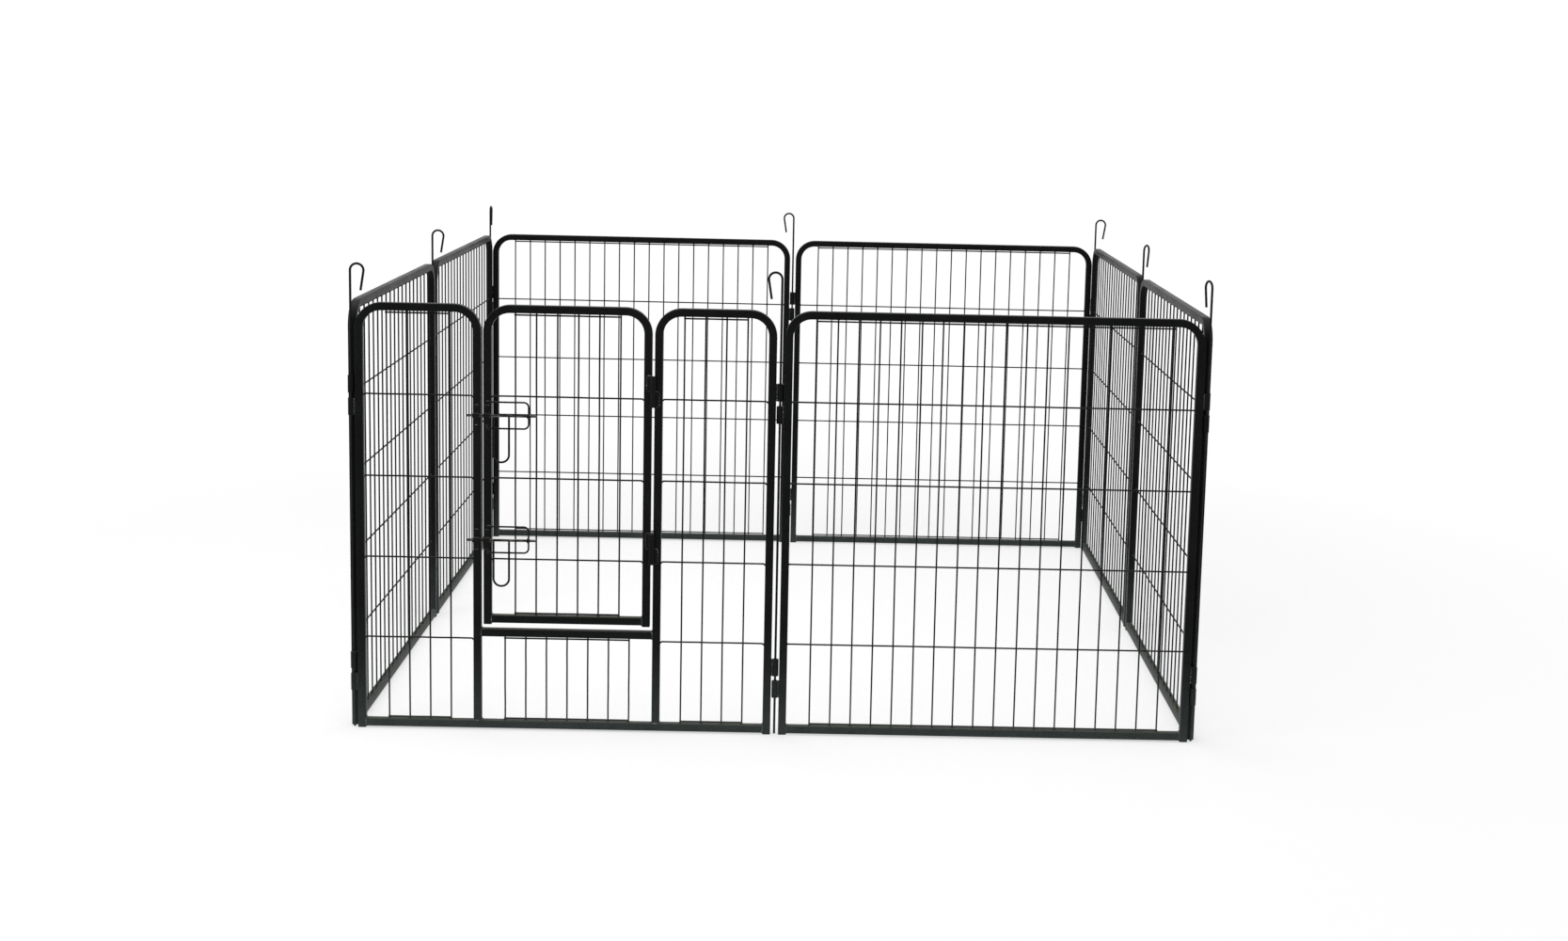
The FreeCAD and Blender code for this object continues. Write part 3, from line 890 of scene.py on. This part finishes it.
strapSet("door_panel_bolt_keepers")
strapSet("door_bolt_straps")
guideSet("door_bolt_guides")
for name in bolts:
    boltRod(name)
    boltHandle(name)
print("bolts dressed")


# turned says which way each hook has been left, in degrees from +X
pin = {"diameter": 4.5 * mm, "sides": 18, "hook": 12.5 * mm, "overturn": 9, "flats": 20,
       "tail": 36.0 * mm, "tail end": 0.7 * mm, "tip": 0.9 * mm,
       "turned": {"front_left": 0, "front_middle": 180, "front_right": 108, "right_middle": 55,
                  "back_right": 0, "back_middle": 180, "back_left": 90, "left_middle": 0}}


def hookedPin(name, degrees):
    node = "pin_" + name
    lo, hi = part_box(node)
    shoulder = hi.z - pin["diameter"] / 2 - pin["hook"]
    bm = bmesh.new()
    path = Bender(bm, roundSection(pin["diameter"], pin["sides"]), (0, 0, 0), up, inward)
    path.run(shoulder).bend(pin["hook"], 180 + pin["overturn"], pin["flats"]).run(pin["tail"])
    softEnd(bm, path.face, pin["tail end"])
    softEnd(bm, path.first, pin["tip"])
    bmesh.ops.transform(bm, matrix=Matrix.Rotation(math.radians(degrees), 4, "Z"), verts=bm.verts)
    xs, ys = [v.co.x for v in bm.verts], [v.co.y for v in bm.verts]
    middle = Vector((min(xs) + max(xs), min(ys) + max(ys), 0)) / 2
    place = (lo + hi) / 2 - middle
    place.z = lo.z
    dress(node + "_wire", bm, "hardware", Matrix.Translation(place), replaced=node)


for name, degrees in pin["turned"].items():
    hookedPin(name, degrees)
print("pins dressed")


white = (1, 1, 1, 1)
floor = {"low": (0.925, 0.925, 0.925, 1), "high": (0.945, 0.945, 0.945, 1), "pattern": (38.0, 3.0),
         "rough": 0.7, "gloss": 0.2, "radius": 14.0, "sides": 96, "drop": 0.6 * mm,
         "whitened": 0.55, "fade from": 1.1, "fade over": 1.2}


def makeFloor():
    # pale paint that runs out to white, and keeps the pen's shadow
    bm = bmesh.new()
    bmesh.ops.create_circle(bm, cap_ends=True, segments=floor["sides"], radius=floor["radius"])
    bmesh.ops.translate(bm, vec=(0, 0, -floor["drop"]), verts=bm.verts)
    mesh = bpy.data.meshes.new("floor")
    bm.to_mesh(mesh)
    bm.free()
    f = Finish("floor_paint")
    away = f.node("VectorMath", {"operation": "LENGTH"}, {0: f.place()}, 1)
    fade = ((away - floor["fade from"]) / floor["fade over"]).clamped()
    share = (floor["whitened"] + fade * (1 - floor["whitened"])) * f.seen()
    paint = f.node("BsdfPrincipled", {}, {
        "Base Color": f.blend(f.noise(*floor["pattern"]), floor["low"], floor["high"]),
        "Roughness": floor["rough"], "Specular IOR Level": floor["gloss"]})
    glow = f.node("Emission", {}, {"Color": white, "Strength": 1.0})
    mesh.materials.append(f.finished(f.node("MixShader", {}, {0: share, 1: paint, 2: glow})))
    piece = bpy.data.objects.new("floor", mesh)
    bpy.context.scene.collection.objects.link(piece)


studio = {"sky": 0.66,
          "lamps": {"overhead": {"power": 56, "size": (3.2, 2.4),
                                 "place": (-0.4, -0.6, 3.1), "target": (0, 0, 0.3)},
                    "left": {"power": 28, "size": (1.6, 2.2),
                             "place": (-3.0, -2.6, 1.9), "target": (0, 0, 0.4)}}}


def makeSky():
    # white to look at, and dimmer for the light it gives
    world = bpy.data.worlds.new("studio")
    bpy.context.scene.world = world
    f = Finish("studio", world)
    strength = f.seen() * (1 - studio["sky"]) + studio["sky"]
    f.finished(f.node("Background", {}, {"Color": white, "Strength": strength}))


def makeLamp(name, values):
    lamp = bpy.data.lights.new(name, "AREA")
    lamp.shape = "RECTANGLE"
    lamp.size, lamp.size_y = values["size"]
    lamp.energy = values["power"]
    light = bpy.data.objects.new(name, lamp)
    light.location = values["place"]
    toTarget = Vector(values["target"]) - Vector(values["place"])
    light.rotation_euler = toTarget.to_track_quat("-Z", "Y").to_euler()
    bpy.context.scene.collection.objects.link(light)


view = {"place": (0.0529, -4.5398, 1.2544), "turn": -0.819, "tilt": 82.004, "roll": 1.326,
        "lens": 46.27, "sensor": 36, "shift": (-0.0377, -0.0716), "clip": (0.05, 100)}


def makeCamera():
    # turn, tilt and roll are in degrees, about Z, then X, then the line of sight
    lens = bpy.data.cameras.new("camera")
    lens.sensor_width = view["sensor"]
    lens.lens = view["lens"]
    lens.shift_x, lens.shift_y = view["shift"]
    lens.clip_start, lens.clip_end = view["clip"]
    camera = bpy.data.objects.new("camera", lens)
    turn, tilt, roll = (Matrix.Rotation(math.radians(view[key]), 4, axis)
                        for key, axis in (("turn", "Z"), ("tilt", "X"), ("roll", "Z")))
    camera.matrix_world = Matrix.Translation(view["place"]) @ turn @ tilt @ roll
    bpy.context.scene.collection.objects.link(camera)
    bpy.context.scene.camera = camera


makeFloor()
makeSky()
for name, values in studio["lamps"].items():
    makeLamp(name, values)
makeCamera()
bpy.context.scene.view_settings.view_transform = "Standard"
print("studio ready")
